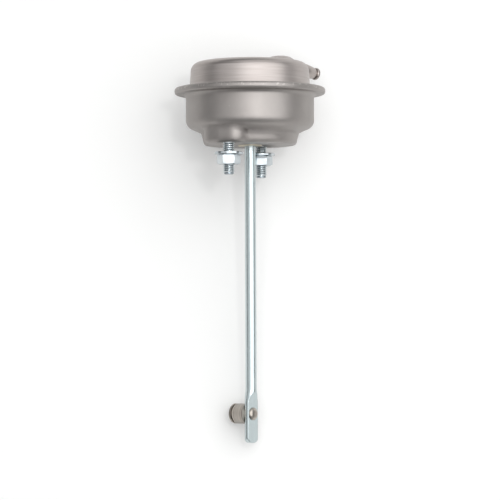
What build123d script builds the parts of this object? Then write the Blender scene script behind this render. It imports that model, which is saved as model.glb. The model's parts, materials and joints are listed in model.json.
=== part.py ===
"""Wastegate actuator: a crimped spring can with a diaphragm inside, two mounting studs and a long push rod.

The rod slides along Z through the bush in the can's base. Pressure at the hose tail pushes the diaphragm,
the piston and the rod down against the spring, and the spring lifts them back against the cover.

Frame: the origin is where the rod's axis meets the outside of the can's base, the face that lies against
the bracket. +Z runs up through the can to the cover, and +X runs from the lobe stud to the inner stud.
"""

import os
from math import cos, pi, radians, sin, tan

from build123d import *

os.makedirs("parts", exist_ok=True)

# Driving dimensions of the pressed shells, mm and degrees
shell_sheet = 0.8
drum_radius = 32.1
shoulder_step = 9.1
shoulder_slope = 24.0
boss_height = 6.0
boss_draft = 14.0
rim_height = 25.4
rim_width = 5.65
crimp_lip = 3.1
cover_rise = 12.4
cover_setback = 1.9
cover_lean = 0.8

# Bends of the shells, as outside radii
base_bend = 1.6
boss_bend = 1.2
shoulder_bend = 4.5
rim_bend = 2.4
crimp_bend = 1.2
cover_foot_bend = 1.2
cover_brow_bend = 3.0

# The lobe that carries the outer stud, and the dome that carries the hose tail
lobe_overhang = 5.8
lobe_corner = 6.0
lobe_spread = 26.0
lobe_azimuth = 174.0
lobe_draft = 3.0
lobe_blend = 3.0
dome_setin = 9.6
dome_radius = 5.7
dome_height = 5.4
dome_bend = 4.2
dome_foot_bend = 0.9

# Studs, nuts and washers
stud_radius = 3.0
stud_length = 15.8
stud_tip_chamfer = 0.8
stud_knurl_radius = 3.5
stud_hole_radius = 3.5
lobe_setin = 5.8
nut_across_flats = 10.0
nut_height = 5.0
nut_chamfer = 30.0
nut_turn = -3.3
washer_radius = 7.0
washer_thickness = 1.2
washer_play = 0.2
washer_rod_gap = 2.25
lobe_washer_drop = 4.7
inner_washer_drop = 3.4

# Rod and its flattened end
rod_radius = 2.75
rod_end_drop = 148.7
blade_width = 7.8
blade_thickness = 2.4
blade_length = 20.2
blade_neck_length = 6.5
blade_corner = 3.0
die_radius = 9.0
spigot_radius = 2.25
rod_head_radius = 4.0
rod_head_height = 1.3
rod_head_bend = 0.5

# Lever pin, riveted through the flattened end
pin_setin = 14.4
pin_azimuth = 77.6
pin_radius = 5.05
pin_length = 10.0
pin_end_chamfer = 0.7
pin_collar_radius = 5.4
pin_collar_length = 1.2
pin_groove_place = 7.3
pin_groove_width = 0.9
pin_groove_depth = 0.6
rivet_radius = 2.25
rivet_head_radius = 3.2
rivet_head_height = 1.4

# Hose tail
tail_azimuth = -24.0
tail_slope = 8.0
tail_overhang = 6.35
tail_tip_drop = 2.6
tail_root_setout = 4.2
tail_root_radius = 3.7
tail_neck_radius = 2.95
tail_bore_radius = 1.8
tail_taper_length = 7.5
bead_radius = 3.15
bead_width = 2.2
bead_round = 0.5

# Guide bush, its retainer and the plate inside the base
plate_thickness = 2.5
plate_setin = 3.7
plate_boss_radius = 4.0
bush_radius = 4.0
bush_height = 9.0
bush_flange_radius = 6.0
bush_flange_proud = 0.4
bush_chamfer = 0.2
retainer_radius = 7.5
retainer_thickness = 0.6

# Spring and its seat
spring_wire = 3.2
spring_turns = 5.0
seat_setin = 3.0
seat_play = 0.8
seat_sheet = 0.8
seat_rim = 2.7
seat_bend = 1.4

# Piston, diaphragm and what clamps them
rolling_gap = 7.3
piston_sheet = 1.0
piston_skirt = 14.0
piston_bend = 2.0
support_radius = 9.0
support_thickness = 1.0
clamp_setin = 4.0
clamp_sheet = 1.2
clamp_rim = 1.8
clamp_bend = 1.6
diaphragm_sheet = 0.8
diaphragm_loop_drop = 7.5

# Clearances
running_clearance = 0.05
assembly_clearance = 0.05
thread_clearance = 0.02
crimp_clearance = 0.05
stop_gap = 0.3

# Radii that follow from the drum's
base_radius = drum_radius - shoulder_step
boss_foot_radius = base_radius + boss_height * tan(radians(boss_draft))
rim_radius = drum_radius + rim_width
cover_foot_radius = drum_radius - cover_setback
cover_brow_radius = cover_foot_radius - cover_lean
lobe_reach = base_radius + lobe_overhang
dome_reach = cover_brow_radius - dome_setin
tail_root_reach = dome_reach + tail_root_setout
tail_tip_reach = rim_radius + tail_overhang
plate_radius = base_radius - plate_setin
seat_radius = base_radius - seat_setin
spring_radius = seat_radius - seat_sheet - seat_play - spring_wire / 2
piston_radius = drum_radius - shell_sheet - rolling_gap
clamp_radius = piston_radius - clamp_setin

# The cover's flange and the diaphragm's edge end where the hem's inner bend starts
crimp_inside = rim_radius - crimp_bend - crimp_clearance

# Places of the studs along X
lobe_stud_x = lobe_setin - lobe_reach
inner_stud_x = rod_radius + washer_radius + washer_rod_gap

# Heights that follow from the sizes above
rim_stack = rim_height + shell_sheet
bead_top = rim_stack + diaphragm_sheet
cover_flange_top = bead_top + shell_sheet
crimp_top = cover_flange_top + shell_sheet
cover_top = crimp_top + cover_rise
tail_tip_height = cover_top - tail_tip_drop
drum_top = rim_height - rim_bend - shell_sheet
shoulder_height = boss_height + (drum_radius - boss_foot_radius) * tan(radians(shoulder_slope))
plate_top = shell_sheet + plate_thickness
seat_top = plate_top + seat_sheet
head_top = cover_top - shell_sheet - stop_gap
clamp_top = head_top - rod_head_height
clamp_foot = clamp_top - clamp_sheet
piston_top = clamp_foot - diaphragm_sheet
piston_underside = piston_top - piston_sheet
rod_shoulder = piston_underside - support_thickness
blade_top_drop = rod_end_drop - blade_length
pin_drop = rod_end_drop - pin_setin

# Directions and planes of the hose tail and of the rod's flattened end
tail_direction = Vector(
    cos(radians(tail_azimuth)) * cos(radians(tail_slope)),
    sin(radians(tail_azimuth)) * cos(radians(tail_slope)),
    -sin(radians(tail_slope)),
)
tail_across = Vector(-sin(radians(tail_azimuth)), cos(radians(tail_azimuth)), 0)
tail_tip = Vector(
    tail_tip_reach * cos(radians(tail_azimuth)),
    tail_tip_reach * sin(radians(tail_azimuth)),
    tail_tip_height,
)
tail_length = (tail_tip_reach - tail_root_reach) / cos(radians(tail_slope))
pin_direction = Vector(cos(radians(pin_azimuth)), sin(radians(pin_azimuth)), 0)
pin_across = Vector(-sin(radians(pin_azimuth)), cos(radians(pin_azimuth)), 0)
blade_front = Plane(origin=(0, 0, 0), x_dir=pin_across, z_dir=pin_direction)
blade_side = Plane(origin=(0, 0, 0), x_dir=pin_direction, z_dir=-pin_across)
neck_section = Plane(origin=(0, 0, blade_neck_length - blade_top_drop), x_dir=pin_across, z_dir=(0, 0, 1))
blade_section = Plane(origin=(0, 0, -blade_top_drop), x_dir=pin_across, z_dir=(0, 0, 1))
pin_section = Plane(origin=(0, 0, -pin_drop), x_dir=pin_direction, z_dir=-pin_across)


def can_form(inset):
    """The can below its rim as a filled form, drawn in from the outside by one sheet for its inner face."""
    with BuildPart() as form:
        with BuildSketch(Plane.XZ):
            with BuildLine():
                Polyline(
                    (0, 0),
                    (base_radius, 0),
                    (boss_foot_radius, boss_height),
                    (drum_radius, shoulder_height),
                    (drum_radius, drum_top),
                )
                if inset:
                    offset(amount=inset, side=Side.LEFT, kind=Kind.INTERSECTION, closed=False, mode=Mode.REPLACE)
                Line((0, inset), (0, drum_top))
                Line((0, drum_top), (drum_radius - inset, drum_top))
            profile = make_face()
            brow = profile.vertices().sort_by(Axis.X)[-2:].sort_by(Axis.Y)[0]
            fillet(brow, shoulder_bend - inset)
        revolve(axis=Axis.Z)
        first_azimuth = lobe_azimuth - lobe_spread / 2
        with BuildSketch(Plane.XY.offset(inset)):
            with PolarLocations(lobe_reach - lobe_corner, 3, first_azimuth, lobe_spread, endpoint=True):
                Circle(lobe_corner - inset)
            make_hull()
        extrude(amount=shoulder_height - inset, taper=-lobe_draft)
        valleys = form.edges().filter_by(is_valley)
        fillet(valleys, lobe_blend + inset)
        foot = form.edges().filter_by(lambda edge: edge.bounding_box().max.Z < inset + assembly_clearance)
        fillet(foot, base_bend - inset)
        fillet(form.edges().filter_by(is_crease), boss_bend + inset)
    return form.part


def is_valley(edge):
    """Whether an edge runs down the corner between the lobe and the boss."""
    box = edge.bounding_box()
    middle = edge.center()
    tall = box.size.Z > boss_height / 2 and box.max.Z < shoulder_height
    seam = box.size.Y < assembly_clearance
    return tall and not seam and Vector(middle.X, middle.Y).length < boss_foot_radius


def is_crease(edge):
    """Whether an edge lies where the boss or the lobe meets the shoulder."""
    box = edge.bounding_box()
    on_shoulder = box.min.Z > boss_height - assembly_clearance and box.max.Z < shoulder_height
    seam = box.size.Y < assembly_clearance
    meets_drum = box.min.Z > boss_height + 2 * shell_sheet and edge.length > base_radius
    return on_shoulder and not seam and not meets_drum


# Can: a drawn cup with a stepped base, whose rim is folded over the cover's flange
can_outside = can_form(0)
can_inside = can_form(shell_sheet)
with BuildPart() as can_shell:
    add(can_outside)
    add(can_inside, mode=Mode.SUBTRACT)
    with BuildSketch(Plane.XZ):
        with BuildLine():
            FilletPolyline(
                (drum_radius, drum_top),
                (drum_radius, rim_height),
                (rim_radius, rim_height),
                (rim_radius, crimp_top),
                (rim_radius - crimp_lip, crimp_top),
                radius=(rim_bend, crimp_bend, crimp_bend),
            )
            offset(amount=shell_sheet, side=Side.LEFT)
        make_face()
    revolve(axis=Axis.Z)
    with Locations((0, 0, 0)):
        Hole(bush_flange_radius + assembly_clearance)
    with Locations((lobe_stud_x, 0, 0), (inner_stud_x, 0, 0)):
        Hole(stud_hole_radius, depth=base_bend)
can_shell.part.label = "can_shell"
export_step(can_shell.part, "parts/can_shell.step")


def cover_form(inset):
    """The cover above its flange as a filled form with the tail's dome, drawn in by one sheet for its inner face."""
    with BuildPart() as form:
        with BuildSketch(Plane.XZ):
            with BuildLine() as skin:
                Polyline((0, cover_top), (cover_brow_radius, cover_top), (cover_foot_radius, cover_flange_top))
                if inset:
                    offset(amount=inset, side=Side.RIGHT, kind=Kind.INTERSECTION, closed=False, mode=Mode.REPLACE)
                foot = skin.vertices().sort_by(Axis.Y)[0]
                Polyline((0, cover_top - inset), (0, bead_top), (foot.X, bead_top), (foot.X, foot.Y))
            profile = make_face()
            fillet(profile.vertices().sort_by(Axis.Y)[-2:].sort_by(Axis.X)[-1], cover_brow_bend - inset)
        revolve(axis=Axis.Z)
        with BuildSketch(Plane.XY.offset(cover_top - cover_brow_bend)):
            with PolarLocations(dome_reach, 1, start_angle=tail_azimuth):
                Circle(dome_radius - inset)
        extrude(amount=cover_brow_bend + dome_height - inset)
        fillet(form.edges().sort_by(Axis.Z)[-1], dome_bend - inset)
        dome_foot = form.edges().filter_by(is_dome_foot)
        fillet(dome_foot, dome_foot_bend + inset)
    return form.part


def is_dome_foot(edge):
    """Whether an edge is the circle where the dome meets the cover's top."""
    small = edge.length < 2 * pi * (dome_radius + assembly_clearance)
    low = abs(edge.center().Z - cover_top) < 2 * shell_sheet
    return edge.geom_type == GeomType.CIRCLE and small and low


# Cover: a shallow pressed cap with a dome for the hose tail, its flange held in the can's folded rim
cover_outside = cover_form(0)
cover_inside = cover_form(shell_sheet)
with BuildPart() as cover_shell:
    add(cover_outside)
    add(cover_inside, mode=Mode.SUBTRACT)
    with BuildSketch(Plane.XZ):
        with BuildLine():
            FilletPolyline(
                (cover_foot_radius, cover_flange_top + 2 * cover_foot_bend),
                (cover_foot_radius, cover_flange_top),
                (crimp_inside, cover_flange_top),
                radius=cover_foot_bend,
            )
            offset(amount=shell_sheet, side=Side.RIGHT)
        make_face()
    revolve(axis=Axis.Z)
    with BuildSketch(Plane(origin=tail_tip, x_dir=tail_across, z_dir=tail_direction)):
        Circle(tail_root_radius + assembly_clearance)
    extrude(amount=-tail_length, mode=Mode.SUBTRACT)
cover_shell.part.label = "cover_shell"
export_step(cover_shell.part, "parts/cover_shell.step")

# Hose tail: a turned nipple with a tapered nose and a bead, brazed into the dome's outer side
with BuildPart() as hose_tail:
    with BuildSketch(Plane(origin=tail_tip, x_dir=tail_across, z_dir=tail_across.cross(tail_direction))):
        with BuildLine():
            bead_root = -bead_width
            taper_foot = -bead_width - tail_taper_length
            Polyline(
                (tail_bore_radius, 0),
                (bead_radius - bead_round, 0),
                (bead_radius, -bead_round),
                (bead_radius, bead_root + bead_round),
                (bead_radius - bead_round, bead_root),
                (tail_neck_radius - bead_round, bead_root),
                (tail_neck_radius, bead_root - bead_round),
                (tail_root_radius, taper_foot),
                (tail_root_radius, -tail_length),
                (tail_bore_radius, -tail_length),
                close=True,
            )
        make_face()
    revolve(axis=Axis(tail_tip, tail_direction))
hose_tail.part.label = "hose_tail"
export_step(hose_tail.part, "parts/hose_tail.step")

# Diaphragm: clamped by its flat edge in the hem, it rolls in one loop between the can's wall and the piston
with BuildPart() as diaphragm:
    outer_leg = drum_radius - shell_sheet - assembly_clearance
    inner_leg = piston_radius + assembly_clearance
    loop_foot = rim_height - diaphragm_loop_drop
    loop_bend = (outer_leg - inner_leg - assembly_clearance) / 2
    with BuildSketch(Plane.XZ):
        with BuildLine():
            FilletPolyline(
                (crimp_inside, rim_stack),
                (outer_leg, rim_stack),
                (outer_leg, loop_foot),
                (inner_leg, loop_foot),
                (inner_leg, piston_top),
                (spigot_radius, piston_top),
                radius=(rim_bend + shell_sheet, loop_bend, loop_bend, piston_bend + assembly_clearance),
            )
            offset(amount=diaphragm_sheet, side=Side.RIGHT)
        make_face()
    revolve(axis=Axis.Z)
diaphragm.part.label = "diaphragm"
export_step(diaphragm.part, "parts/diaphragm.step")

# Mounting plate inside the base: it carries the studs and the bush, and lies flat on the base sheet
with BuildSketch(Plane.XY.offset(shell_sheet)) as plate_arm:
    with Locations((lobe_stud_x, 0), (inner_stud_x, 0)):
        Circle(plate_boss_radius)
    make_hull()
with BuildPart() as mounting_plate:
    with BuildSketch(Plane.XY.offset(shell_sheet)):
        Circle(plate_radius)
        add(plate_arm.sketch)
        Circle(bush_radius + assembly_clearance, mode=Mode.SUBTRACT)
        with Locations((lobe_stud_x, 0), (inner_stud_x, 0)):
            Circle(stud_knurl_radius, mode=Mode.SUBTRACT)
    extrude(amount=plate_thickness)
mounting_plate.part.label = "mounting_plate"
export_step(mounting_plate.part, "parts/mounting_plate.step")


def make_stud(x, name):
    """A stud pressed up through the mounting plate by its knurled head, flush with the plate's top."""
    with BuildPart() as stud:
        with BuildSketch(Plane.XY.offset(-stud_length)):
            with Locations((x, 0)):
                Circle(stud_radius)
        extrude(amount=stud_length + shell_sheet)
        chamfer(stud.faces().sort_by(Axis.Z)[0].edges(), stud_tip_chamfer)
        with BuildSketch(Plane.XY.offset(shell_sheet)):
            with Locations((x, 0)):
                Circle(stud_knurl_radius)
        extrude(amount=plate_thickness)
    stud.part.label = name
    export_step(stud.part, f"parts/{name}.step")


def make_washer(x, top, name):
    """A plain washer, loose on its stud and lying on the nut below it."""
    with BuildPart() as washer:
        with BuildSketch(Plane.XY.offset(top - washer_thickness)):
            with Locations((x, 0)):
                Circle(washer_radius)
                Circle(stud_radius + washer_play, mode=Mode.SUBTRACT)
        extrude(amount=washer_thickness)
    washer.part.label = name
    export_step(washer.part, f"parts/{name}.step")


def make_nut(x, top, name):
    """A hexagon nut with both ends chamfered."""
    across_corners = nut_across_flats / cos(radians(30))
    edge_drop = (across_corners - nut_across_flats) / 2 * tan(radians(nut_chamfer))
    foot = top - nut_height
    with BuildPart() as nut:
        with BuildSketch(Plane.XY.offset(foot)):
            with Locations(Location((x, 0), nut_turn)):
                RegularPolygon(across_corners / 2, 6)
                Circle(stud_radius + thread_clearance, mode=Mode.SUBTRACT)
        extrude(amount=nut_height)
        with BuildSketch(Plane.XZ.move(Location((x, 0, 0)))):
            with BuildLine():
                Polyline(
                    (0, foot),
                    (nut_across_flats / 2, foot),
                    (across_corners / 2, foot + edge_drop),
                    (across_corners / 2, top - edge_drop),
                    (nut_across_flats / 2, top),
                    (0, top),
                    close=True,
                )
            make_face()
        revolve(axis=Axis((x, 0, 0), (0, 0, 1)), mode=Mode.INTERSECT)
    nut.part.label = name
    export_step(nut.part, f"parts/{name}.step")


make_stud(lobe_stud_x, "lobe_stud")
make_stud(inner_stud_x, "inner_stud")
make_washer(lobe_stud_x, -lobe_washer_drop, "lobe_washer")
make_washer(inner_stud_x, -inner_washer_drop, "inner_washer")
make_nut(lobe_stud_x, -lobe_washer_drop - washer_thickness, "lobe_nut")
make_nut(inner_stud_x, -inner_washer_drop - washer_thickness, "inner_nut")

# Guide bush: its flange passes the base sheet and bears on the plate, its body reaches up inside the spring
with BuildPart() as guide_bush:
    with BuildSketch(Plane.XY.offset(-bush_flange_proud)):
        Circle(bush_flange_radius)
    extrude(amount=bush_flange_proud + shell_sheet)
    with BuildSketch(Plane.XY.offset(shell_sheet)):
        Circle(bush_radius)
    extrude(amount=bush_height)
    Hole(rod_radius + running_clearance)
    chamfer(guide_bush.faces().sort_by(Axis.Z)[-1].edges(), bush_chamfer)
    chamfer(guide_bush.faces().sort_by(Axis.Z)[0].edges(), bush_chamfer)
guide_bush.part.label = "guide_bush"
export_step(guide_bush.part, "parts/guide_bush.step")

# Retainer: a flat ring pushed over the bush, which holds it and the spring's seat down on the plate
with BuildPart() as bush_retainer:
    with BuildSketch(Plane.XY.offset(seat_top)):
        Circle(retainer_radius)
        Circle(bush_radius, mode=Mode.SUBTRACT)
    extrude(amount=retainer_thickness)
bush_retainer.part.label = "bush_retainer"
export_step(bush_retainer.part, "parts/bush_retainer.step")

# Spring seat: a pressed dish that centres the spring's lower end
with BuildPart() as spring_seat:
    with BuildSketch(Plane.XZ):
        with BuildLine():
            FilletPolyline(
                (bush_radius + assembly_clearance, plate_top),
                (seat_radius, plate_top),
                (seat_radius, plate_top + seat_rim),
                radius=seat_bend,
            )
            offset(amount=seat_sheet, side=Side.LEFT)
        make_face()
    revolve(axis=Axis.Z)
spring_seat.part.label = "spring_seat"
export_step(spring_seat.part, "parts/spring_seat.step")

# Spring: a coil from the seat to the piston, both ends ground flat
with BuildPart() as spring:
    spring_length = piston_underside - seat_top
    with BuildLine(Plane.XY.offset(seat_top)):
        coil = Helix(spring_length / spring_turns, spring_length, spring_radius)
    with BuildSketch(Plane(origin=coil @ 0, z_dir=coil % 0)):
        Circle(spring_wire / 2)
    sweep(path=coil, is_frenet=True)
    with BuildSketch(Plane.XY.offset(seat_top)):
        Circle(piston_radius)
    extrude(amount=spring_length, mode=Mode.INTERSECT)
spring.part.label = "spring"
export_step(spring.part, "parts/spring.step")

# Support washer: it lies on the rod's shoulder and carries the piston
with BuildPart() as support_washer:
    with BuildSketch(Plane.XY.offset(rod_shoulder)):
        Circle(support_radius)
        Circle(spigot_radius + assembly_clearance, mode=Mode.SUBTRACT)
    extrude(amount=support_thickness)
support_washer.part.label = "support_washer"
export_step(support_washer.part, "parts/support_washer.step")

# Piston: an inverted cup over the spring, whose skirt the diaphragm rolls on
with BuildPart() as piston_cup:
    with BuildSketch(Plane.XZ):
        with BuildLine():
            FilletPolyline(
                (spigot_radius + assembly_clearance, piston_top),
                (piston_radius, piston_top),
                (piston_radius, piston_top - piston_skirt),
                radius=piston_bend,
            )
            offset(amount=piston_sheet, side=Side.RIGHT)
        make_face()
    revolve(axis=Axis.Z)
piston_cup.part.label = "piston_cup"
export_step(piston_cup.part, "parts/piston_cup.step")

# Clamp plate: a shallow dish that holds the diaphragm down on the piston
with BuildPart() as clamp_plate:
    with BuildSketch(Plane.XZ):
        with BuildLine():
            FilletPolyline(
                (spigot_radius + assembly_clearance, clamp_foot),
                (clamp_radius, clamp_foot),
                (clamp_radius, clamp_foot + clamp_rim),
                radius=clamp_bend,
            )
            offset(amount=clamp_sheet, side=Side.LEFT)
        make_face()
    revolve(axis=Axis.Z)
clamp_plate.part.label = "clamp_plate"
export_step(clamp_plate.part, "parts/clamp_plate.step")

# Rod: turned down to a spigot with a riveted head at the top, and forged flat and wider at its lower end
with BuildPart() as actuator_rod:
    with BuildSketch(neck_section):
        Circle(rod_radius)
    with BuildSketch(blade_section):
        SlotOverall(blade_width, 2 * rod_radius)
    loft()
    with BuildSketch(blade_section):
        SlotOverall(blade_width, 2 * rod_radius)
    extrude(amount=blade_top_drop - rod_end_drop)
    with BuildSketch(neck_section):
        Circle(rod_radius)
    extrude(amount=rod_shoulder + blade_top_drop - blade_neck_length)
    with BuildSketch(Plane.XY.offset(rod_shoulder)):
        Circle(spigot_radius)
    extrude(amount=clamp_top - rod_shoulder)
    with BuildSketch(Plane.XY.offset(clamp_top)):
        Circle(rod_head_radius)
    extrude(amount=rod_head_height)
    fillet(actuator_rod.faces().sort_by(Axis.Z)[-1].edges(), rod_head_bend)
    with BuildSketch(blade_side):
        with Locations(
            (blade_thickness / 2 + die_radius, -blade_top_drop),
            (-blade_thickness / 2 - die_radius, -blade_top_drop),
        ):
            Circle(die_radius)
            Rectangle(2 * die_radius, 2 * (rod_end_drop - blade_top_drop), align=(Align.CENTER, Align.MAX))
    extrude(amount=blade_width, both=True, mode=Mode.SUBTRACT)
    with BuildSketch(blade_front):
        with Locations((0, -rod_end_drop)):
            Rectangle(2 * blade_width, 2 * blade_corner)
            RectangleRounded(
                blade_width, 4 * blade_corner, blade_corner, align=(Align.CENTER, Align.MIN), mode=Mode.SUBTRACT
            )
        with Locations((0, -pin_drop)):
            Circle(rivet_radius)
    extrude(amount=blade_width, both=True, mode=Mode.SUBTRACT)
actuator_rod.part.label = "actuator_rod"
export_step(actuator_rod.part, "parts/actuator_rod.step")

# Lever pin: riveted over on one side of the blade, with a collar, a plain land and a clip's groove on the other
with BuildPart() as lever_pin:
    half_blade = blade_thickness / 2
    with BuildSketch(pin_section):
        with BuildLine():
            collar_end = half_blade + pin_collar_length
            groove_start = half_blade + pin_groove_place
            groove_end = groove_start + pin_groove_width
            pin_end = half_blade + pin_length
            Polyline(
                (-half_blade, rivet_head_radius),
                (-half_blade, rivet_radius),
                (half_blade, rivet_radius),
                (half_blade, pin_collar_radius),
                (collar_end, pin_collar_radius),
                (collar_end, pin_radius),
                (groove_start, pin_radius),
                (groove_start, pin_radius - pin_groove_depth),
                (groove_end, pin_radius - pin_groove_depth),
                (groove_end, pin_radius),
                (pin_end - pin_end_chamfer, pin_radius),
                (pin_end, pin_radius - pin_end_chamfer),
                (pin_end, 0),
                (-half_blade - rivet_head_height, 0),
            )
            TangentArc((-half_blade - rivet_head_height, 0), (-half_blade, rivet_head_radius), tangent=(0, 1))
        make_face()
    revolve(axis=Axis((0, 0, -pin_drop), pin_direction))
lever_pin.part.label = "lever_pin"
export_step(lever_pin.part, "parts/lever_pin.step")
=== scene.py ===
"""Looks of a wastegate actuator: a crimped steel can, a brushed cover, threaded studs and a long pull rod."""

import json
from math import cos, pi, radians, sin, tan

import bpy
from mathutils import Matrix, Vector


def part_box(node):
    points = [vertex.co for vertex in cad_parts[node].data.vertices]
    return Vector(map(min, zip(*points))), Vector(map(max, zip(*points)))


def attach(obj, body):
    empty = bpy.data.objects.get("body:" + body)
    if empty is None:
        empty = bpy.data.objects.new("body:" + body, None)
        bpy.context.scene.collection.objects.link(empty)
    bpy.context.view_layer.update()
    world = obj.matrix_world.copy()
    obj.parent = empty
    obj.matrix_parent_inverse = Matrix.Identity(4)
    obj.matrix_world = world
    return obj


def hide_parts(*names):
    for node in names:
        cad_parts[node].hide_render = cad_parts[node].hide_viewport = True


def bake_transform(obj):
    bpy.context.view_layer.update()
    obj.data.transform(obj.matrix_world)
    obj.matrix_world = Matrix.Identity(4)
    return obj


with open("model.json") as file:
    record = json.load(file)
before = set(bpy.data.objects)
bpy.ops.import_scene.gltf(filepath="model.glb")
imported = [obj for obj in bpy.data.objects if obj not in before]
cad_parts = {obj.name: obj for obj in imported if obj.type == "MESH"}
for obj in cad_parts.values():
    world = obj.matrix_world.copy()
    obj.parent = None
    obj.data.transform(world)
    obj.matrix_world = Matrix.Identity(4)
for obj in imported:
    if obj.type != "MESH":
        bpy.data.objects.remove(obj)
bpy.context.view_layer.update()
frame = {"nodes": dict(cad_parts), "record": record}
nodes = frame["nodes"]
mounts = {mount["name"]: mount for mount in frame["record"]["mounts"]}

# The photograph was taken with a long lens from below the can's base, nearly square to the table under the
# actuator. The camera stands at that angle, and its lens is worked out from the frame's width in pixels.
photo_azimuth = radians(-62.7)
camera_distance = 1.15
camera_height = -0.086
camera_pitch = radians(1.67)
camera_roll = radians(-0.25)
axis_offset = -0.0003
photo_width_px = 500
focal_length_px = 2300
sensor_width_mm = 36
nearest_seen = 0.01
farthest_seen = 20

view_direction = Vector((-sin(photo_azimuth), cos(photo_azimuth), 0))
view_right = Vector((cos(photo_azimuth), sin(photo_azimuth), 0))
view_up = Vector((0, 0, 1))
lens = bpy.data.cameras.new("photo_lens")
lens.sensor_width = sensor_width_mm
lens.lens = focal_length_px / photo_width_px * sensor_width_mm
lens.clip_start = nearest_seen
lens.clip_end = farthest_seen
camera = bpy.data.objects.new("photo_camera", lens)
bpy.context.scene.collection.objects.link(camera)
sight = (view_direction * cos(camera_pitch) + view_up * sin(camera_pitch)).normalized()
camera.matrix_world = (
    Matrix.Translation(-view_direction * camera_distance + view_right * axis_offset + view_up * camera_height)
    @ sight.to_track_quat("-Z", "Y").to_matrix().to_4x4()
    @ Matrix.Rotation(camera_roll, 4, "Z")
)
bpy.context.scene.camera = camera
bpy.context.scene.view_settings.view_transform = "Standard"

# Card: the actuator lies on a white sheet, which is white in the picture and takes its soft shadow.
# It rests on the can's rim and on the lever pin's end, so the card comes nearer to the rod towards the blade.
# The card is one-sided, so that it doesn't hide the actuator from behind.
card_reach = 1.6
card_gap = 0.0008
rim_height = 0.026
card_shade = "#f3f3f2"
card_glow = 0.12


def linear(hex_colour):
    """An sRGB hex colour as linear red, green, blue and alpha."""
    channels = []
    for start in (1, 3, 5):
        level = int(hex_colour[start : start + 2], 16) / 255
        channels.append(level / 12.92 if level <= 0.04045 else ((level + 0.055) / 1.055) ** 2.4)
    return (*channels, 1.0)


def add_node(tree, kind, inputs=None, **settings):
    """Add a node with its settings. An input is a value, or another node's output to link."""
    node = tree.nodes.new(kind)
    for name, value in settings.items():
        setattr(node, name, value)
    for name, value in (inputs or {}).items():
        if isinstance(value, bpy.types.NodeSocket):
            tree.links.new(value, node.inputs[name])
        else:
            node.inputs[name].default_value = value
    return node


rim_low, rim_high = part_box("can_shell")
rim_rest = view_direction * ((rim_high.x - rim_low.x) / 2 + card_gap) + view_up * rim_height
pin_low, pin_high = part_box("lever_pin")
pin_corners = [Vector((x, y, 0)) for x in (pin_low.x, pin_high.x) for y in (pin_low.y, pin_high.y)]
pin_reach = max(corner.dot(view_direction) for corner in pin_corners)
pin_rest = view_direction * (pin_reach + card_gap) + view_up * mounts["lever_pin"]["pos_m"][2]
card_normal = (rim_rest - pin_rest).cross(view_right).normalized()
card_turn = card_normal.to_track_quat("-Z", "Y").to_matrix().to_4x4()
bpy.ops.object.select_all(action="DESELECT")
bpy.ops.mesh.primitive_plane_add(size=2 * card_reach)
card = bpy.context.object
card.name = "card"
card.data.transform(Matrix.Translation((rim_rest + pin_rest) / 2) @ card_turn)

# Card stock is matt and even. A faint glow that only the camera sees keeps it white round the shadow.
paper = bpy.data.materials.new("white card")
paper.use_nodes = True
tree = paper.node_tree
tree.nodes.clear()
path = add_node(tree, "ShaderNodeLightPath").outputs
back = add_node(tree, "ShaderNodeNewGeometry").outputs["Backfacing"]
matte = add_node(tree, "ShaderNodeBsdfDiffuse", {"Color": linear(card_shade)}).outputs[0]
glow = add_node(tree, "ShaderNodeEmission", {"Color": linear(card_shade), "Strength": card_glow}).outputs[0]
lit = add_node(tree, "ShaderNodeAddShader", {0: matte, 1: glow}).outputs[0]
clear = add_node(tree, "ShaderNodeBsdfTransparent").outputs[0]
plain = add_node(tree, "ShaderNodeMixShader", {0: path["Is Camera Ray"], 1: matte, 2: lit}).outputs[0]
one_sided = add_node(tree, "ShaderNodeMixShader", {0: back, 1: plain, 2: clear}).outputs[0]
add_node(tree, "ShaderNodeOutputMaterial", {"Surface": one_sided})
card.data.materials.append(paper)

# Light: a pale room with a wide softbox in front, just to the right of the camera, a smaller one above it and
# a weak one to the left. They draw the wide, soft highlights on the can and the cover.
# A small lamp near the camera adds the faint, sharper shadow that the rod and the studs throw on the card.
room_shade = "#e6e8ea"
room_strength = 0.27

world = bpy.data.worlds.new("pale room")
bpy.context.scene.world = world
world.use_nodes = True
world.node_tree.nodes["Background"].inputs["Color"].default_value = linear(room_shade)
world.node_tree.nodes["Background"].inputs["Strength"].default_value = room_strength


def add_softbox(name, place, width, height, power):
    """A softbox at a place given by the camera's right, up and nearness, turned to face the can."""
    lamp = bpy.data.lights.new(name, "AREA")
    lamp.shape = "RECTANGLE"
    lamp.size = width
    lamp.size_y = height
    lamp.energy = power
    softbox = bpy.data.objects.new(name, lamp)
    bpy.context.scene.collection.objects.link(softbox)
    spot = view_right * place[0] + view_up * place[1] - view_direction * place[2]
    softbox.matrix_world = Matrix.Translation(spot) @ (-spot).to_track_quat("-Z", "Y").to_matrix().to_4x4()


add_softbox("main_softbox", place=(0.34, 0.08, 0.8), width=1.6, height=1.3, power=9.8)
add_softbox("top_softbox", place=(0.25, 0.95, 0.45), width=1.4, height=0.8, power=2.6)
add_softbox("left_softbox", place=(-0.6, 0.1, 0.62), width=0.7, height=1.2, power=1.4)
add_softbox("small_lamp", place=(0.19, 0.1, 1.0), width=0.06, height=0.06, power=0.75)

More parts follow.
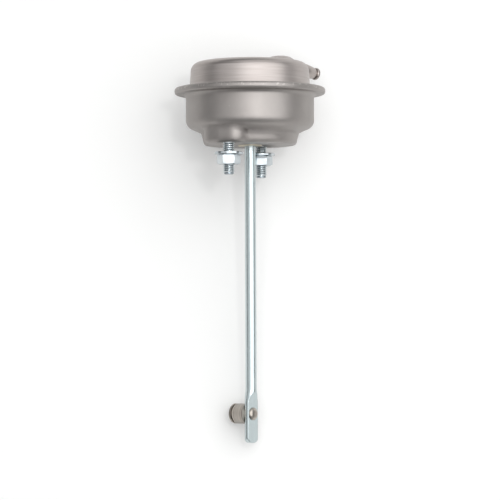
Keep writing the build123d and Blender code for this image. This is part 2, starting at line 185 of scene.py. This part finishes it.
# Can: deep-drawn stainless steel with a stepped base, its rim folded over the cover's flange.
# It is blasted with fine beads, which leaves a soft satin grey with faint clouds, a few specks and no lines.
cloud_size = 0.016
bead_size = 0.0006
bead_depth = 0.00005
bead_strength = 0.25
base_softness = 0.0045
rim_softness = 0.001
softness_low = 0.009
softness_high = 0.018
speck_spacing = 0.0045
speck_share = 0.8
speck_radius = 0.035
# Painted glints along the rim: their size, height, half band and strength.
rim_glint_size = 0.0011
rim_glint_height = 0.0275
rim_glint_half_band = 0.0007
rim_glint_faintest = 0.56
rim_glint_clearest = 0.66


def new_finish(name, metallic=1.0):
    """A new material, with its tree, its surface shader and the piece's own coordinates."""
    finish = bpy.data.materials.new(name)
    finish.use_nodes = True
    tree = finish.node_tree
    surface = tree.nodes["Principled BSDF"]
    surface.inputs["Metallic"].default_value = metallic
    place = add_node(tree, "ShaderNodeTexCoord").outputs["Object"]
    return finish, tree, surface, place


def follow_pattern(tree, surface, pattern, tones, roughness=None, marks=(0.3, 0.7)):
    """Let a pattern lead the colour between two tones, and the roughness too. Gives the colour back."""
    ramp = add_node(tree, "ShaderNodeValToRGB", {"Fac": pattern})
    for stop, mark, tone in zip(ramp.color_ramp.elements, marks, tones):
        stop.position = mark
        stop.color = linear(tone)
    tree.links.new(ramp.outputs["Color"], surface.inputs["Base Color"])
    if roughness:
        ends = {"Value": pattern, "To Min": roughness[0], "To Max": roughness[1]}
        rough = add_node(tree, "ShaderNodeMapRange", ends)
        tree.links.new(rough.outputs["Result"], surface.inputs["Roughness"])
    return ramp.outputs["Color"]


def finish_nodes(finish, *names):
    """Give CAD nodes, whose shape stays, their finish."""
    for name in names:
        nodes[name].data.materials.clear()
        nodes[name].data.materials.append(finish)


# Bead-blasted steel looks dull and even, a little warm, with a broad highlight that fades without an edge.
# The beads' dents are drawn coarser than they are, so that they show.
blasted, tree, surface, place = new_finish("bead-blasted stainless steel")
clouds = add_node(tree, "ShaderNodeTexNoise", {"Vector": place, "Scale": 1 / cloud_size, "Detail": 4.0})
satin = follow_pattern(tree, surface, clouds.outputs["Fac"], ("#a09b98", "#ada8a5"), (0.44, 0.52))
cells = add_node(tree, "ShaderNodeTexVoronoi", {"Vector": place, "Scale": 1 / speck_spacing})
gap = cells.outputs["Distance"]
near = add_node(tree, "ShaderNodeMath", {0: gap, 1: speck_radius}, operation="LESS_THAN")
chance = add_node(tree, "ShaderNodeSeparateColor", {"Color": cells.outputs["Color"]}).outputs["Red"]
chosen = add_node(tree, "ShaderNodeMath", {0: chance, 1: speck_share}, operation="GREATER_THAN")
speck = add_node(tree, "ShaderNodeMath", {0: near.outputs[0], 1: chosen.outputs[0]}, operation="MULTIPLY")
specked = add_node(
    tree,
    "ShaderNodeMix",
    {"Factor": speck.outputs[0], "A": satin, "B": linear("#d8d4d0")},
    data_type="RGBA",
)

# Along the rim, noise paints small bright marks into the colour: painted glints over the crimp's rough
# surface.
height = add_node(tree, "ShaderNodeSeparateXYZ", {"Vector": place}).outputs["Z"]
rim_glint_band = add_node(tree, "ShaderNodeMath", {0: height, 1: rim_glint_height, 2: rim_glint_half_band}, operation="COMPARE")
marks = add_node(tree, "ShaderNodeTexNoise", {"Vector": place, "Scale": 1 / rim_glint_size, "Detail": 1.0})
marks = add_node(
    tree,
    "ShaderNodeMapRange",
    {"Value": marks.outputs["Fac"], "From Min": rim_glint_faintest, "From Max": rim_glint_clearest},
)
marks = add_node(
    tree,
    "ShaderNodeMath",
    {0: marks.outputs["Result"], 1: rim_glint_band.outputs[0]},
    operation="MULTIPLY",
)
rim_glint_painted = add_node(
    tree,
    "ShaderNodeMix",
    {"Factor": marks.outputs[0], "A": specked.outputs["Result"], "B": linear("#c2bdb9")},
    data_type="RGBA",
)
tree.links.new(rim_glint_painted.outputs["Result"], surface.inputs["Base Color"])

# Deep drawing leaves the base's steps softer than the rim.
softness = add_node(
    tree,
    "ShaderNodeMapRange",
    {
        "Value": height,
        "From Min": softness_low,
        "From Max": softness_high,
        "To Min": base_softness,
        "To Max": rim_softness,
    },
)
pressed = add_node(tree, "ShaderNodeBevel", {"Radius": softness.outputs["Result"]}, samples=16)
beads = add_node(tree, "ShaderNodeTexNoise", {"Vector": place, "Scale": 1 / bead_size, "Detail": 2.0})
dimples = add_node(
    tree,
    "ShaderNodeBump",
    {
        "Height": beads.outputs["Fac"],
        "Normal": pressed.outputs["Normal"],
        "Strength": bead_strength,
        "Distance": bead_depth,
    },
)
tree.links.new(dimples.outputs["Normal"], surface.inputs["Normal"])
finish_nodes(blasted, "can_shell")

# Inner pressings: the plate that holds the studs, the bush's retainer, the spring's seat, the support washer,
# the piston and its clamp plate. All are cold-rolled steel sheet, pressed and left bare with a film of oil.
grain_width = 0.002
grain_length = 0.02

# Bare sheet looks mid grey and faintly streaked along the way it was rolled.
bare_sheet, tree, surface, place = new_finish("oiled cold-rolled steel")
grain_scale = (1 / grain_width, 1 / grain_length, 1 / grain_width)
rolled = add_node(tree, "ShaderNodeMapping", {"Vector": place, "Scale": grain_scale}).outputs["Vector"]
grain = add_node(tree, "ShaderNodeTexNoise", {"Vector": rolled, "Scale": 1.0, "Detail": 4.0}).outputs["Fac"]
follow_pattern(tree, surface, grain, ("#8c8b89", "#a3a2a0"), (0.3, 0.42))
finish_nodes(
    bare_sheet,
    "mounting_plate",
    "bush_retainer",
    "spring_seat",
    "support_washer",
    "piston_cup",
    "clamp_plate",
)

# Studs: M6 screws of carbon steel with a rolled thread, pressed into the inner plate by a knurled head.
# The thread's ridge is wound as a helix round a core and closed at both ends.
thread_pitch = 0.001
thread_core = 0.00239
thread_crest = 0.00296
thread_root_width = 0.00088
thread_crest_width = 0.00014
thread_overlap_share = 0.01
thread_steps = 48
thread_run_in = 0.0004
thread_run_out = 0.0003
thread_roughness = 0.18
stud_tip_slope = 0.0003
stud_shank = 0.003
knurl_sides = 72


def turn(name, rings, sides=96, closed=True):
    """Turn a piece round Z from its profile, a list of radii and heights, each ring drawn out of the last.

    A last radius of nothing closes the piece on its axis.
    """
    bpy.ops.object.select_all(action="DESELECT")
    bpy.ops.mesh.primitive_circle_add(vertices=sides, radius=rings[0][0])
    piece = bpy.context.object
    piece.name = name
    bpy.ops.object.mode_set(mode="EDIT")
    bpy.ops.mesh.select_all(action="SELECT")
    bpy.ops.transform.translate(value=(0, 0, rings[0][1]))
    for (radius, height), (next_radius, next_height) in zip(rings, rings[1:]):
        bpy.ops.mesh.extrude_edges_move(TRANSFORM_OT_translate={"value": (0, 0, next_height - height)})
        growth = next_radius / radius
        bpy.ops.transform.resize(value=(growth, growth, 1), center_override=(0, 0, next_height))
    bpy.ops.mesh.select_all(action="SELECT")
    bpy.ops.mesh.remove_doubles(threshold=1e-7)
    if closed:
        bpy.ops.mesh.fill_holes(sides=sides)
    bpy.ops.mesh.normals_make_consistent(inside=False)
    bpy.ops.object.mode_set(mode="OBJECT")
    return piece


def soften(piece, width, angle=30):
    """Round a piece's edges, and shade its curved faces smooth."""
    bpy.ops.object.select_all(action="DESELECT")
    piece.select_set(True)
    bpy.context.view_layer.objects.active = piece
    if width:
        edges = piece.modifiers.new("edges", "BEVEL")
        edges.width = width
        edges.segments = 2
        edges.limit_method = "ANGLE"
        edges.angle_limit = radians(angle)
        bpy.ops.object.modifier_apply(modifier="edges")
    bpy.ops.object.shade_smooth_by_angle(angle=radians(angle))


def fit(piece, finish, body, node):
    """Hand a finished piece over: its finish, the body it rides on and the node it replaces."""
    piece.data.materials.clear()
    piece.data.materials.append(finish)
    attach(piece, body)
    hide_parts(node)


def fit_pair(model, prefix, pair, finish):
    """Fit copies of a model where two CAD nodes stand. It was made round Z, at the first node's height."""
    boxes = [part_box(name) for name in pair]
    for name, (low, high) in zip(pair, boxes):
        piece = bpy.data.objects.new(f"{prefix}_{name}", model.data.copy())
        bpy.context.scene.collection.objects.link(piece)
        lift = low.z - boxes[0][0].z
        piece.data.transform(Matrix.Translation(((low.x + high.x) / 2, (low.y + high.y) / 2, lift)))
        fit(piece, finish, "housing", name)
    bpy.data.objects.remove(model)


def wind_thread(bottom, top):
    """The ridge of a thread between two heights, as a section that is screwed up the Z axis."""
    bpy.ops.object.select_all(action="DESELECT")
    bpy.ops.mesh.primitive_plane_add(size=1)
    ridge = bpy.context.object
    bpy.ops.object.mode_set(mode="EDIT")
    bpy.ops.mesh.select_all(action="SELECT")
    bpy.ops.mesh.delete(type="ONLY_FACE")
    bpy.ops.object.mode_set(mode="OBJECT")
    overlap = thread_core * thread_overlap_share
    for corner in ridge.data.vertices:
        outer = corner.co.x > 0
        width = thread_crest_width if outer else thread_root_width
        height = bottom + thread_root_width / 2 + (width / 2 if corner.co.y > 0 else -width / 2)
        corner.co = Vector((thread_crest if outer else thread_core - overlap, 0, height))
    screw = ridge.modifiers.new("screw", "SCREW")
    screw.screw_offset = thread_pitch
    screw.iterations = int((top - bottom - thread_root_width) / thread_pitch)
    screw.steps = thread_steps
    screw.render_steps = thread_steps
    bpy.ops.object.modifier_apply(modifier="screw")
    bpy.ops.object.mode_set(mode="EDIT")
    bpy.ops.mesh.select_all(action="SELECT")
    bpy.ops.mesh.fill_holes(sides=4)
    bpy.ops.mesh.normals_make_consistent(inside=False)
    bpy.ops.object.mode_set(mode="OBJECT")
    return ridge


# Zinc thread: painted shade darkens the colour in the roots and a painted highlight brightens the crests.
studs = ("lobe_stud", "inner_stud")
threaded, tree, surface, place = new_finish("zinc-plated thread with painted shade and highlight")
flat = add_node(tree, "ShaderNodeVectorMath", {0: place, 1: (1, 1, 0)}, operation="MULTIPLY")
reaches = []
for name in studs:
    low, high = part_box(name)
    ends = {0: flat.outputs["Vector"], 1: ((low.x + high.x) / 2, (low.y + high.y) / 2, 0)}
    reaches.append(add_node(tree, "ShaderNodeVectorMath", ends, operation="DISTANCE").outputs["Value"])
reach = add_node(tree, "ShaderNodeMath", {0: reaches[0], 1: reaches[1]}, operation="MINIMUM").outputs[0]
# The distance from the nearer stud's axis leads the colour from painted shade to painted highlight.
depths = {"Value": reach, "From Min": thread_core, "From Max": thread_crest}
root_shade_to_crest_highlight = add_node(tree, "ShaderNodeMapRange", depths).outputs["Result"]
follow_pattern(tree, surface, root_shade_to_crest_highlight, ("#969fa4", "#e2e8ea"), marks=(0.1, 0.6))
surface.inputs["Roughness"].default_value = thread_roughness

low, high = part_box(studs[0])
head_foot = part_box("mounting_plate")[0].z
head_radius = (high.x - low.x) / 2
stud = turn(
    "stud",
    [
        (thread_core - stud_tip_slope, low.z),
        (thread_core, low.z + stud_tip_slope),
        (thread_core, -thread_run_out - thread_pitch / 2),
        (stud_shank, -thread_run_out),
        (stud_shank, head_foot),
    ],
)
ridge = wind_thread(low.z + thread_run_in, -thread_run_out)
head = turn("head", [(head_radius, head_foot), (head_radius, high.z)], sides=knurl_sides)
bpy.ops.object.select_all(action="DESELECT")
for part in (stud, ridge, head):
    part.select_set(True)
bpy.context.view_layer.objects.active = stud
bpy.ops.object.join()
soften(stud, 0)
fit_pair(stud, "threaded", studs, threaded)

# Guide bush: a flanged bearing of sintered bronze, pressed in from outside and held by the ring behind it.
# The rod runs in its bore, and its thin flange shows round the rod on the base.
pore_size = 0.0004
bronze_roughness = 0.5

# Sintered bronze looks beige and matt, with a fine dark grain where its pores hold oil.
bronze, tree, surface, place = new_finish("oil-filled sintered bronze")
pores = add_node(tree, "ShaderNodeTexNoise", {"Vector": place, "Scale": 1 / pore_size, "Detail": 3.0})
follow_pattern(tree, surface, pores.outputs["Fac"], ("#c3b9a3", "#e3dbca"))
surface.inputs["Roughness"].default_value = bronze_roughness
finish_nodes(bronze, "guide_bush")

# Spring: a coil of hard-drawn wire with ground ends, phosphated and oiled against rust.
# Its foot stays in the seat and its head follows the piston, so the coil shortens; this copy of it stays
# still.
crystal_size = 0.0012
merge_distance = 1e-6

# Phosphated wire looks dark grey and dry, with an uneven crystal tone.
phosphated, tree, surface, place = new_finish("phosphated spring wire", metallic=0.7)
crystals = add_node(tree, "ShaderNodeTexNoise", {"Vector": place, "Scale": 1 / crystal_size, "Detail": 5.0})
follow_pattern(tree, surface, crystals.outputs["Fac"], ("#3c3e41", "#5b5d60"), (0.42, 0.6))


def copy_shape(name, node, finish):
    """A new piece with a CAD node's shape and its corners joined. It takes the place of the node, which is
    hidden.
    """
    piece = bpy.data.objects.new(name, nodes[node].data.copy())
    bpy.context.scene.collection.objects.link(piece)
    bpy.ops.object.select_all(action="DESELECT")
    piece.select_set(True)
    bpy.context.view_layer.objects.active = piece
    bpy.ops.object.mode_set(mode="EDIT")
    bpy.ops.mesh.select_all(action="SELECT")
    bpy.ops.mesh.remove_doubles(threshold=merge_distance)
    bpy.ops.mesh.normals_make_consistent(inside=False)
    bpy.ops.object.mode_set(mode="OBJECT")
    soften(piece, 0, angle=40)
    piece.data.materials.clear()
    piece.data.materials.append(finish)
    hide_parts(node)
    return piece


low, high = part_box("spring")
coil = copy_shape("wound_spring", "spring", phosphated)
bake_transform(coil)

# Diaphragm: silicone rubber moulded on a woven cloth. Its edge is squeezed under the cover in the crimp.
# Its middle is clamped to the piston and goes with it, so the wall gives; this copy of it stays still.
weave_pitch = 0.0050265
weave_depth = 0.0001
weave_strength = 0.4
rubber_roughness = 0.62

# Cloth-backed rubber looks black and matt, with the weave just showing through.
# The weave is drawn coarser than it is, so that it shows.
rubber, tree, surface, place = new_finish("cloth-backed silicone rubber", metallic=0.0)
wave_scale = pi / 10 / weave_pitch
threads = []
for direction in ("X", "Y"):
    wave = {"Vector": place, "Scale": wave_scale}
    threads.append(add_node(tree, "ShaderNodeTexWave", wave, bands_direction=direction).outputs["Fac"])
weave = add_node(tree, "ShaderNodeMath", {0: threads[0], 1: threads[1]}, operation="MULTIPLY").outputs[0]
follow_pattern(tree, surface, weave, ("#1b1b1c", "#29292a"))
surface.inputs["Roughness"].default_value = rubber_roughness
relief = {"Height": weave, "Strength": weave_strength, "Distance": weave_depth}
cloth = add_node(tree, "ShaderNodeBump", relief)
tree.links.new(cloth.outputs["Normal"], surface.inputs["Normal"])

membrane = copy_shape("moulded_diaphragm", "diaphragm", rubber)
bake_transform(membrane)

# Cover: the same stainless steel, drawn to a shallow cap with a soft brow. Its flange is held in the crimp.
# A dome is pressed out of its top for the hose tail, which passes through a hole in the dome's flank.
# It was spun against an abrasive pad, which draws fine lines round the wall and in circles over the top.
cover_sheet = 0.0008
cover_rise = 0.0132
cover_wall_foot = 0.0302
cover_wall_brow = 0.0294
cover_foot_bend = 0.0014
cover_foot_steps = 6
cover_brow_bend = 0.0046
cover_brow_steps = 14
cover_top_rise = 0.0003
cover_sides = 160
cover_ring_gap = 0.0011
dome_reach = 0.0198
dome_height = 0.0044
dome_flat = 0.0034
dome_spread = 0.009
hole_play = 0.00005
hole_sides = 64
line_pitch = 0.0011
line_length = 0.026
line_depth = 0.00003
line_strength = 0.12
brush_stretch = 0.5
tail_root = 0.0037
tail_length = 0.0203
tail_axis = Vector(mounts["hose_tail"]["axis"]).normalized()
tail_middle = Vector(mounts["hose_tail"]["pos_m"])
tail_place = Matrix.Translation(tail_middle) @ tail_axis.to_track_quat("Z", "Y").to_matrix().to_4x4()


def bend(before, corner, after, radius, steps):
    """Points of a rounded corner between two straight runs of a profile."""
    back = (Vector(before) - Vector(corner)).normalized()
    ahead = (Vector(after) - Vector(corner)).normalized()
    half = back.angle(ahead) / 2
    start = Vector(corner) + back * radius / tan(half)
    end = Vector(corner) + ahead * radius / tan(half)
    centre = Vector(corner) + (back + ahead).normalized() * radius / sin(half)
    swings = [(start - centre).slerp(end - centre, step / steps) for step in range(steps + 1)]
    return [tuple(centre + radius * swing) for swing in swings]


def circling_lines(tree, place, pitch, length):
    """Fine lines that run round Z: at steady heights on a wall, and at steady radii on a face."""
    flat = add_node(tree, "ShaderNodeVectorMath", {0: place, 1: (1, 1, 0)}, operation="MULTIPLY")
    flat = flat.outputs["Vector"]
    radius = add_node(tree, "ShaderNodeVectorMath", {0: flat}, operation="LENGTH").outputs["Value"]
    height = add_node(tree, "ShaderNodeSeparateXYZ", {"Vector": place}).outputs["Z"]
    step = add_node(tree, "ShaderNodeMath", {0: height, 1: radius}, operation="SUBTRACT").outputs[0]
    rise = add_node(tree, "ShaderNodeMath", {0: step, 1: length / pitch}, operation="MULTIPLY").outputs[0]
    lift = add_node(tree, "ShaderNodeCombineXYZ", {"Z": rise}).outputs["Vector"]
    bent = add_node(tree, "ShaderNodeVectorMath", {0: flat, 1: lift}, operation="ADD").outputs["Vector"]
    streaks = add_node(tree, "ShaderNodeTexNoise", {"Vector": bent, "Scale": 1 / length, "Detail": 3.0})
    return streaks.outputs["Fac"]


# Circle-brushed steel is brighter than the can, with fine level streaks and a highlight drawn out up and down
# the wall. The lines are drawn coarser than the pad leaves them, so that they show.
brushed, tree, surface, place = new_finish("circle-brushed stainless steel")
lines = circling_lines(tree, place, line_pitch, line_length)
follow_pattern(tree, surface, lines, ("#afa7a3", "#beb7b4"), (0.32, 0.4))
surface.inputs["Anisotropic"].default_value = brush_stretch
relief = {"Height": lines, "Strength": line_strength, "Distance": line_depth}
grooves = add_node(tree, "ShaderNodeBump", relief)
tree.links.new(grooves.outputs["Normal"], surface.inputs["Normal"])
round_axis = add_node(tree, "ShaderNodeTangent", direction_type="RADIAL", axis="Z")
tree.links.new(round_axis.outputs["Tangent"], surface.inputs["Tangent"])

low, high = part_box("cover_shell")
flange_edge = (high.x - low.x) / 2
flange_top = low.z + cover_sheet
cover_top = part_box("can_shell")[1].z + cover_rise
foot_corner = (cover_wall_foot, flange_top)
brow_corner = (cover_wall_brow, cover_top - cover_top_rise)
skin = [(flange_edge, flange_top)]
skin += bend(skin[0], foot_corner, brow_corner, cover_foot_bend, cover_foot_steps)
skin += bend(foot_corner, brow_corner, (0, cover_top), cover_brow_bend, cover_brow_steps)
top_edge = skin[-1]
ring_count = int(top_edge[0] / cover_ring_gap)
for ring in range(1, ring_count + 1):
    inward = 1 - ring / ring_count
    skin.append((top_edge[0] * inward, cover_top + (top_edge[1] - cover_top) * inward**2))
cover = turn("pressed_cover", skin, sides=cover_sides, closed=False)

# The dome is pushed up out of the top, with the sheet round it drawn along.
dome_centre = Vector((tail_axis.x, tail_axis.y, 0)).normalized() * dome_reach + Vector((0, 0, cover_top))
bpy.ops.object.mode_set(mode="EDIT")
bpy.ops.mesh.select_mode(type="VERT")
bpy.ops.mesh.select_all(action="DESELECT")
bpy.ops.object.mode_set(mode="OBJECT")
for vertex in cover.data.vertices:
    vertex.select = (vertex.co - dome_centre).length < dome_flat
bpy.ops.object.mode_set(mode="EDIT")
bpy.ops.transform.translate(
    value=(0, 0, dome_height),
    use_proportional_edit=True,
    proportional_edit_falloff="SMOOTH",
    proportional_size=dome_spread,
)
bpy.ops.object.mode_set(mode="OBJECT")
sheet = cover.modifiers.new("sheet", "SOLIDIFY")
sheet.thickness = cover_sheet
sheet.offset = -1
sheet.use_even_offset = True
bpy.ops.object.modifier_apply(modifier="sheet")

# The tail's hole is drilled along its axis. The faces that the drill leaves with many sides are split.
bpy.ops.object.select_all(action="DESELECT")
bpy.ops.mesh.primitive_cylinder_add(vertices=hole_sides, radius=tail_root + hole_play, depth=tail_length)
drill = bpy.context.object
drill.data.transform(tail_place @ Matrix.Translation((0, 0, -tail_length / 2)))
hole = cover.modifiers.new("hole", "BOOLEAN")
hole.operation = "DIFFERENCE"
hole.solver = "EXACT"
hole.object = drill
bpy.context.view_layer.objects.active = cover
bpy.ops.object.modifier_apply(modifier="hole")
bpy.data.objects.remove(drill)
bpy.ops.object.mode_set(mode="EDIT")
bpy.ops.mesh.select_mode(type="FACE")
bpy.ops.mesh.select_face_by_sides(number=4, type="GREATER")
bpy.ops.mesh.quads_convert_to_tris(ngon_method="BEAUTY")
bpy.ops.object.mode_set(mode="OBJECT")
soften(cover, 0, angle=40)
fit(cover, brushed, "housing", "cover_shell")

# Hose tail: a stainless tube, brazed into the dome and turned with a bead at its mouth, a neck and a taper.
# The hose is pushed over the bead and grips behind it.
tail_mouth = 0.0011
tail_bore = 0.0018
tail_bead = 0.00315
tail_bead_width = 0.0018
tail_bead_edge = 0.0007
tail_bead_steps = 6
tail_neck = 0.0025
tail_neck_width = 0.0009
tail_taper_start = 0.0029
tail_taper = 0.0055
tail_edge = 0.00012
turning_pitch = 0.00025


def turning_lines(tree, place, axis, pitch):
    """Fine rings that a cutting tool leaves round a turned piece's axis."""
    along = add_node(tree, "ShaderNodeVectorMath", {0: place, 1: axis}, operation="DOT_PRODUCT")
    rings = add_node(
        tree,
        "ShaderNodeTexNoise",
        {"W": along.outputs["Value"], "Scale": 1 / pitch, "Detail": 3.0},
        noise_dimensions="1D",
    )
    return rings.outputs["Fac"]


# Turned stainless steel shows tight rings round the tube and a crisp, slightly warm highlight.
turned_steel, tree, surface, place = new_finish("turned stainless steel")
rings = turning_lines(tree, place, tail_axis, turning_pitch)
follow_pattern(tree, surface, rings, ("#a39b96", "#c4bcb8"), (0.24, 0.36))

bead_foot = tail_mouth - tail_bead_width
neck_end = bead_foot - tail_neck_width
tail_end = tail_mouth - tail_length
mouth_inner = (tail_bore, tail_mouth)
mouth_outer = (tail_bead, tail_mouth)
bead_outer = (tail_bead, bead_foot)
neck_start = (tail_neck, bead_foot)
tail = turn(
    "turned_hose_tail",
    [mouth_inner]
    + bend(mouth_inner, mouth_outer, bead_outer, tail_bead_edge, tail_bead_steps)
    + bend(mouth_outer, bead_outer, neck_start, tail_bead_edge, tail_bead_steps)
    + [
        neck_start,
        (tail_neck, neck_end),
        (tail_taper_start, neck_end),
        (tail_root, neck_end - tail_taper),
        (tail_root, tail_end),
        (tail_bore, tail_end),
        mouth_inner,
    ],
)
soften(tail, tail_edge)
tail.data.transform(tail_place)
fit(tail, turned_steel, "housing", "hose_tail")

# Rod: drawn steel bar, forged flat and wider at its lower end for the lever pin, then zinc plated.
# Its upper end passes the bush, carries the piston and is riveted over the clamp plate.
draw_width = 0.0004
draw_length = 0.02
rod_edge = 0.0006

# Plated bar looks clear and hard: a narrow white highlight, dark flanks and faint lines along its length.
plated_bar, tree, surface, place = new_finish("zinc-plated drawn bar")
draw_scale = (1 / draw_width, 1 / draw_width, 1 / draw_length)
drawn = add_node(tree, "ShaderNodeMapping", {"Vector": place, "Scale": draw_scale}).outputs["Vector"]
draw_lines = add_node(tree, "ShaderNodeTexNoise", {"Vector": drawn, "Scale": 1.0, "Detail": 3.0})
follow_pattern(tree, surface, draw_lines.outputs["Fac"], ("#c1ccce", "#cfdadc"), (0.23, 0.27))
rounded = add_node(tree, "ShaderNodeBevel", {"Radius": rod_edge}, samples=10)
tree.links.new(rounded.outputs["Normal"], surface.inputs["Normal"])
finish_nodes(plated_bar, "actuator_rod")

# Lever pin: turned steel with a collar, a plain land for the lever's eye and a groove for its clip.
# Its thin end passes the blade and is riveted over into a low dome.
pin_blade_half = 0.0012
pin_length = 0.01
pin_land = 0.00505
pin_collar = 0.0054
pin_collar_length = 0.0012
pin_groove_place = 0.0073
pin_groove_width = 0.0009
pin_groove_floor = 0.0042
pin_relief = 0.0042
pin_relief_width = 0.0004
pin_ring_pitch = 0.0006
pin_chamfer = 0.0007
pin_edge = 0.00012
rivet_shank = 0.00225
rivet_head = 0.0032
rivet_height = 0.0014
rivet_steps = 8

pin_axis = Vector(mounts["lever_pin"]["axis"]).normalized()
pin_drop = mounts["lever_pin"]["pos_m"][2]

# Hard turned steel, left unplated, looks brown-grey with a dulled highlight and rings that the tool leaves.
# The rings are drawn coarser than they are, so that they show.
browned, tree, surface, place = new_finish("oiled turned steel")
rings = turning_lines(tree, place, pin_axis, pin_ring_pitch)
follow_pattern(tree, surface, rings, ("#8c847d", "#c6bfb6"), (0.22, 0.38))

rivet = []
for step in range(1, rivet_steps + 1):
    swing = radians(90 * step / rivet_steps)
    rivet.append((rivet_head * sin(swing), -pin_blade_half - rivet_height * cos(swing)))
relief_end = pin_blade_half + pin_relief_width
collar_end = pin_blade_half + pin_collar_length
groove_start = pin_blade_half + pin_groove_place
groove_end = groove_start + pin_groove_width
pin_end = pin_blade_half + pin_length
pin = turn(
    "turned_lever_pin",
    rivet
    + [
        (rivet_shank, -pin_blade_half),
        (rivet_shank, pin_blade_half),
        (pin_relief, pin_blade_half),
        (pin_relief, relief_end),
        (pin_collar, relief_end),
        (pin_collar, collar_end),
        (pin_land, collar_end),
        (pin_land, groove_start),
        (pin_groove_floor, groove_start),
        (pin_groove_floor, groove_end),
        (pin_land, groove_end),
        (pin_land, pin_end - pin_chamfer),
        (pin_land - pin_chamfer, pin_end),
    ],
)
soften(pin, pin_edge)
pin_turn = pin_axis.to_track_quat("Z", "Y").to_matrix().to_4x4()
pin.data.transform(Matrix.Translation((0, 0, pin_drop)) @ pin_turn)
fit(pin, browned, "rod", "lever_pin")

# Washers: stamped from steel strip and zinc plated, with edges that the punch has rounded.
# Each lies loose on its nut until the bracket is clamped.
zinc_patch = 0.005
washer_bore = 0.0032
washer_edge = 0.0002

# Bright zinc plating is a clear blue-white: a sharp highlight over slightly patchy, faintly blue steel.
zinc, tree, surface, place = new_finish("bright zinc plating")
patches = add_node(tree, "ShaderNodeTexNoise", {"Vector": place, "Scale": 1 / zinc_patch, "Detail": 3.0})
follow_pattern(tree, surface, patches.outputs["Fac"], ("#b9c1c6", "#d6dcdf"), (0.13, 0.24))

washers = ("lobe_washer", "inner_washer")
low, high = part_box(washers[0])
rim = (high.x - low.x) / 2
washer = turn(
    "washer",
    [(rim, low.z), (rim, high.z), (washer_bore, high.z), (washer_bore, low.z), (rim, low.z)],
)
soften(washer, washer_edge)
fit_pair(washer, "stamped", washers, zinc)

# Nuts: M6 hexagons, cold-formed and zinc plated, both ends chamfered and the thread's mouths countersunk.
# A bar of six sides is cut to a turned form, which is wider than the bar between its chamfers.
nut_flats = 0.01
nut_turn = radians(26.7)
nut_bore = 0.00302
nut_mouth = 0.0033
nut_chamfer = radians(30)
nut_end_radius = 0.0048
nut_edge = 0.00015
form_spare = 1.1
form_spare_rise = 1.5

nuts = ("lobe_nut", "inner_nut")
low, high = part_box(nuts[0])
corner = nut_flats / 2 / cos(radians(30))
slope = (corner - nut_end_radius) * tan(nut_chamfer)
mouth_depth = nut_mouth - nut_bore
bpy.ops.object.select_all(action="DESELECT")
bpy.ops.mesh.primitive_cylinder_add(vertices=6, radius=corner, depth=high.z - low.z)
nut = bpy.context.object
nut.data.transform(Matrix.Rotation(nut_turn, 4, "Z"))
nut.data.transform(Matrix.Translation((0, 0, (low.z + high.z) / 2)))
form = turn(
    "form",
    [
        (nut_mouth, low.z),
        (nut_end_radius, low.z),
        (corner, low.z + slope),
        (corner * form_spare, low.z + slope * form_spare_rise),
        (corner * form_spare, high.z - slope * form_spare_rise),
        (corner, high.z - slope),
        (nut_end_radius, high.z),
        (nut_mouth, high.z),
        (nut_bore, high.z - mouth_depth),
        (nut_bore, low.z + mouth_depth),
        (nut_mouth, low.z),
    ],
)
cut = nut.modifiers.new("cut", "BOOLEAN")
cut.operation = "INTERSECT"
cut.solver = "EXACT"
cut.object = form
bpy.context.view_layer.objects.active = nut
bpy.ops.object.modifier_apply(modifier="cut")
bpy.data.objects.remove(form)
soften(nut, nut_edge, angle=25)
fit_pair(nut, "chamfered", nuts, zinc)
